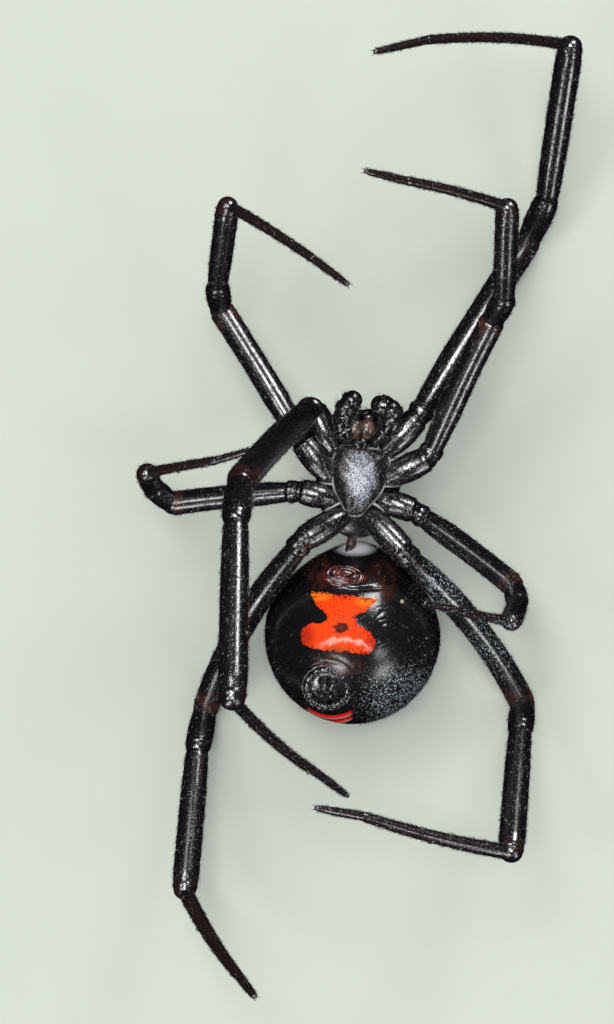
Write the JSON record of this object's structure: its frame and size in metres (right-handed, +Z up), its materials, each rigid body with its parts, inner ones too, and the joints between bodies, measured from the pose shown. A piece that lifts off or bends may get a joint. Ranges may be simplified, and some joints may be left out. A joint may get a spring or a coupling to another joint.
{
  "type": "black widow spider",
  "caption": "Life-size model of a spider lying on its back: round abdomen, small flat front body and long jointed legs curling up and inwards.",
  "frame": {"origin": "on the floor, at the middle of the flat on which the abdomen rests", "axes": "+Y towards the head, +Z up, which is the side of the belly, and +X towards the animal's own left"},
  "size_m": [0.0132, 0.0299, 0.0157],
  "materials": {
    "black_cuticle": "gloss",
    "brown_cuticle": "satin",
    "tarsus_cuticle": "satin",
    "sternum_cuticle": "satin",
    "eye_lens": "gloss"
  },
  "bodies": {
    "root": {"abdomen": "black_cuticle", "carapace": "black_cuticle", "chelicera_left": "black_cuticle", "chelicera_right": "black_cuticle", "palp_left": "black_cuticle", "palp_right": "black_cuticle", "leg_1_left_coxa": "black_cuticle", "leg_1_left_femur": "black_cuticle", "leg_1_left_patella": "black_cuticle", "leg_1_left_tibia": "black_cuticle", "leg_1_left_tarsus": "tarsus_cuticle", "leg_1_right_coxa": "black_cuticle", "leg_1_right_femur": "black_cuticle", "leg_1_right_patella": "black_cuticle", "leg_1_right_tibia": "black_cuticle", "leg_1_right_tarsus": "tarsus_cuticle", "leg_2_left_coxa": "black_cuticle", "leg_2_left_femur": "black_cuticle", "leg_2_left_patella": "black_cuticle", "leg_2_left_tibia": "black_cuticle", "leg_2_left_tarsus": "tarsus_cuticle", "leg_2_right_coxa": "black_cuticle", "leg_2_right_femur": "black_cuticle", "leg_2_right_patella": "black_cuticle", "leg_2_right_tibia": "black_cuticle", "leg_2_right_tarsus": "tarsus_cuticle", "leg_3_left_coxa": "black_cuticle", "leg_3_left_femur": "black_cuticle", "leg_3_left_patella": "black_cuticle", "leg_3_left_tibia": "black_cuticle", "leg_3_left_tarsus": "tarsus_cuticle", "leg_3_right_coxa": "black_cuticle", "leg_3_right_femur": "black_cuticle", "leg_3_right_patella": "black_cuticle", "leg_3_right_tibia": "black_cuticle", "leg_3_right_tarsus": "tarsus_cuticle", "leg_4_left_coxa": "black_cuticle", "leg_4_left_femur": "black_cuticle", "leg_4_left_patella": "black_cuticle", "leg_4_left_tibia": "black_cuticle", "leg_4_left_tarsus": "tarsus_cuticle", "leg_4_right_coxa": "black_cuticle", "leg_4_right_femur": "black_cuticle", "leg_4_right_patella": "black_cuticle", "leg_4_right_tibia": "black_cuticle", "leg_4_right_tarsus": "tarsus_cuticle", "mouthparts": "brown_cuticle", "pedicel": "brown_cuticle", "spinnerets": "brown_cuticle", "sternum": "sternum_cuticle", "eye_front_median_left": "eye_lens", "eye_front_median_right": "eye_lens", "eye_front_side_left": "eye_lens", "eye_front_side_right": "eye_lens", "eye_rear_median_left": "eye_lens", "eye_rear_median_right": "eye_lens", "eye_rear_side_left": "eye_lens", "eye_rear_side_right": "eye_lens"}
  },
  "joints": []
}
